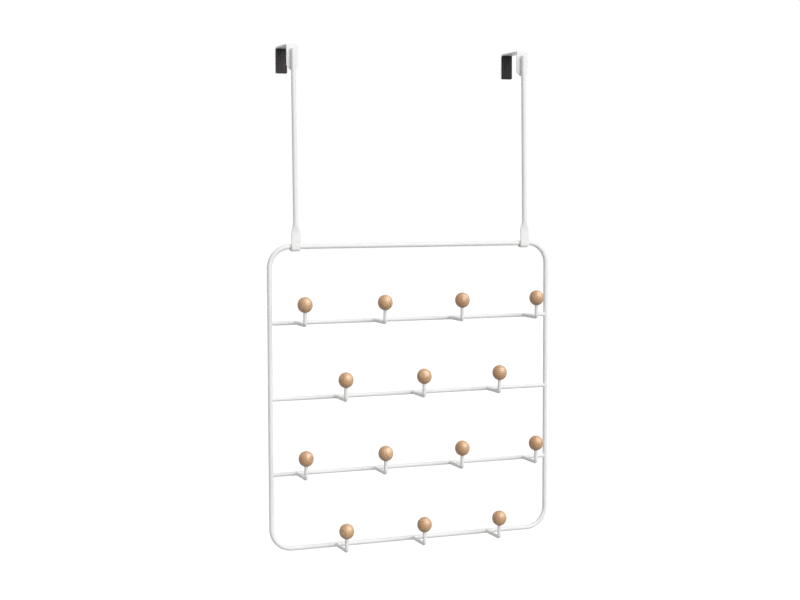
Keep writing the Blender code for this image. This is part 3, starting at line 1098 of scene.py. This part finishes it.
def lay_floor(studio):
    """A plain pale floor at the door's foot. It keeps the rack's shadow."""
    material = bpy.data.materials.new("pale_floor")
    recipe = Recipe(material)
    pale = (studio.floor_white,) * 3
    matt = recipe.node("ShaderNodeBsdfDiffuse", {}, {"Color": pale}).outputs["BSDF"]
    sockets = {"Color": WHITE, "Strength": studio.floor_glow}
    glow = recipe.node("ShaderNodeEmission", {}, sockets).outputs["Emission"]
    bright = recipe.node("ShaderNodeAddShader", {}, {0: matt, 1: glow}).outputs["Shader"]
    mixed = recipe.node("ShaderNodeMixShader", {}, {0: seen_rays(recipe), 1: matt, 2: bright})
    recipe.node("ShaderNodeOutputMaterial", {}, {"Surface": mixed.outputs["Shader"]})
    shape = bmesh.new()
    bmesh.ops.create_grid(shape, x_segments=1, y_segments=1, size=studio.floor_reach)
    floor = finished("floor", shape, material)
    floor.location.z = -studio.floor_drop


def soft_lamp(scene, name, strength, softness, come_from):
    """A lamp so far away that only its direction and the angle that it fills count."""
    light = bpy.data.lights.new(name, "SUN")
    light.energy = strength
    light.angle = softness
    lamp = bpy.data.objects.new(name, light)
    towards = Vector(come_from).normalized()
    lamp.rotation_mode = "QUATERNION"
    lamp.rotation_quaternion = towards.to_track_quat("Z", "Y")
    lamp.location = towards * LAMP_DISTANCE
    scene.collection.objects.link(lamp)
    return lamp


def light_balls(scene, studio):
    """Two lamps for the balls alone: a large softbox on the upper right that shows only as a broad pale
    gleam in their varnish, and a high key that leaves their undersides in shade.
    """
    softbox = soft_lamp(
        scene, "softbox", studio.softbox_strength, studio.softbox_softness, studio.softbox_from)
    softbox.visible_diffuse = False
    ball_key = soft_lamp(
        scene, "ball_key", studio.ball_key_strength, studio.ball_key_softness, studio.ball_key_from)
    ball_key.visible_glossy = False
    balls = bpy.data.collections.new("wooden_balls")
    for item in scene.objects:
        if item.name.startswith("wood_"):
            balls.objects.link(item)
    for lamp in (softbox, ball_key):
        lamp.light_linking.receiver_collection = balls


def light_room(scene, studio):
    """A soft key from the upper right in front, a weak fill behind, and a pale room, brighter in front."""
    soft_lamp(scene, "key", studio.key_strength, studio.key_softness, studio.key_from)
    soft_lamp(scene, "fill", studio.fill_strength, studio.key_softness, studio.fill_from)
    light_balls(scene, studio)
    world = bpy.data.worlds.new("pale_room")
    scene.world = world
    recipe = Recipe(world)
    direction = recipe.node("ShaderNodeTexCoord").outputs["Generated"]
    side = recipe.level("ShaderNodeVectorMath", "Value", {"operation": "DOT_PRODUCT"},
                        {0: direction, 1: Vector(studio.room_from).normalized()})
    dark, bright, white = (
        recipe.node("ShaderNodeBackground", {}, {"Color": WHITE, "Strength": glow}).outputs["Background"]
        for glow in (studio.sky_dark, studio.sky_bright, 1.0))
    room = recipe.node("ShaderNodeMixShader", {}, {0: side * 0.5 + 0.5, 1: dark, 2: bright})
    sockets = {0: seen_rays(recipe), 1: room.outputs["Shader"], 2: white}
    shown = recipe.node("ShaderNodeMixShader", {}, sockets)
    recipe.node("ShaderNodeOutputWorld", {}, {"Surface": shown.outputs["Shader"]})


def place_camera(scene, studio):
    """The photograph's camera."""
    lens = bpy.data.cameras.new("camera")
    lens.sensor_width = SENSOR_WIDTH
    lens.lens = studio.camera_lens
    camera = bpy.data.objects.new("camera", lens)
    yaw, dip, roll = studio.camera_yaw, studio.camera_dip, studio.camera_roll
    ahead = Vector((math.sin(yaw) * math.cos(dip), math.cos(yaw) * math.cos(dip), -math.sin(dip)))
    level = Vector((math.cos(yaw), -math.sin(yaw), 0.0))
    upward = level.cross(ahead)
    right = level * math.cos(roll) + upward * math.sin(roll)
    up = upward * math.cos(roll) - level * math.sin(roll)
    turned = Matrix((right, up, -ahead)).transposed().to_4x4()
    camera.matrix_world = Matrix.Translation(studio.camera_place) @ turned
    scene.collection.objects.link(camera)
    scene.camera = camera


# Registering and running

GROUPS = (WireSizes, BallSizes, HangerSizes, PadSizes, Finishes, StudioSizes, HookRack)
OPERATORS = (
    HOOKRACK_OT_ring, HOOKRACK_OT_bars, HOOKRACK_OT_hooks, HOOKRACK_OT_balls,
    HOOKRACK_OT_straps, HOOKRACK_OT_pads, HOOKRACK_OT_rods, HOOKRACK_OT_stage,
)


def register():
    """Registers the classes and gives every scene its hook rack."""
    for kind in GROUPS + OPERATORS + (HOOKRACK_PT_panel,):
        bpy.utils.register_class(kind)
    bpy.types.Scene.hook_rack = PointerProperty(type=HookRack)


def unregister():
    """Takes back what register did."""
    del bpy.types.Scene.hook_rack
    for kind in reversed(GROUPS + OPERATORS + (HOOKRACK_PT_panel,)):
        bpy.utils.unregister_class(kind)


def main():
    """Builds the rack and its studio."""
    register()
    bpy.ops.hook_rack.ring()
    bpy.ops.hook_rack.bars()
    bpy.ops.hook_rack.hooks()
    bpy.ops.hook_rack.balls()
    bpy.ops.hook_rack.straps()
    bpy.ops.hook_rack.pads()
    bpy.ops.hook_rack.rods()
    bpy.ops.hook_rack.stage()


if __name__ == "__main__":
    main()
